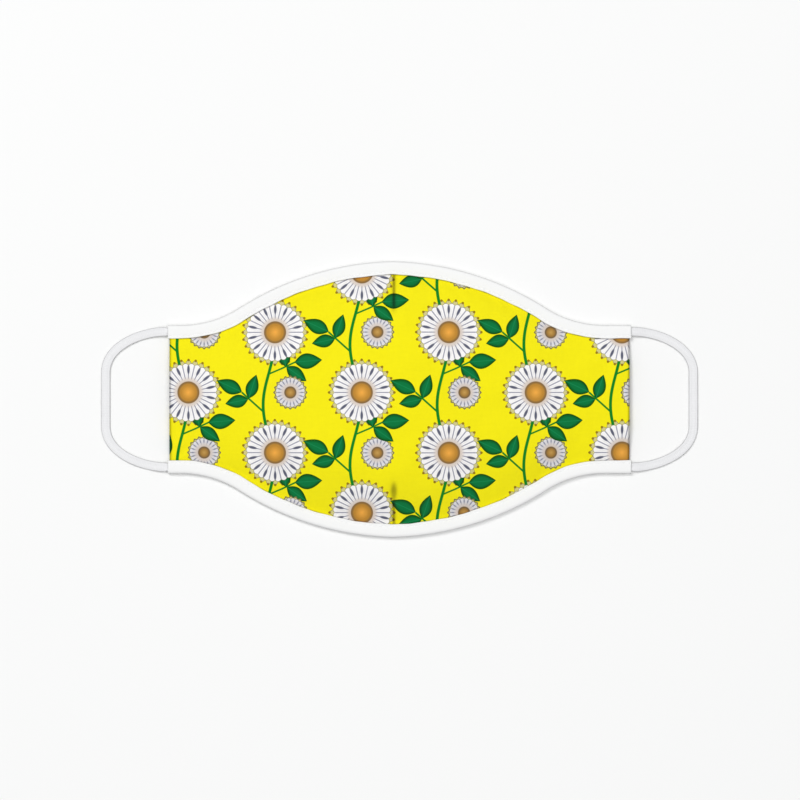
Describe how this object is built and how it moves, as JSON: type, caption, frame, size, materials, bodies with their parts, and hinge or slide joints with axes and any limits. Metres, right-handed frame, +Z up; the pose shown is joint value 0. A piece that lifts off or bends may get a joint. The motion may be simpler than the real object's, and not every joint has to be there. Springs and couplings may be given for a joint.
{
  "type": "cloth face mask",
  "caption": "Cloth face mask lying face up: a domed print panel shaped by darts, with bound upper and lower edges and elastic ear loops.",
  "frame": {"origin": "under the middle of the mask, on the surface that it rests on", "axes": "+X across the face, +Y towards the wearer's brow, +Z up out of the printed face"},
  "size_m": [0.2682, 0.1242, 0.0175],
  "materials": {
    "print_cloth": "matt woven cotton with a daisy print, plain white inside",
    "white_tape": "matt white folded tape",
    "white_elastic": "soft matt white knitted elastic"
  },
  "bodies": {
    "root": {"printed_panel": "print_cloth", "top_binding": "white_tape", "bottom_binding": "white_tape", "right_ear_loop": "white_elastic", "left_ear_loop": "white_elastic"}
  },
  "joints": []
}
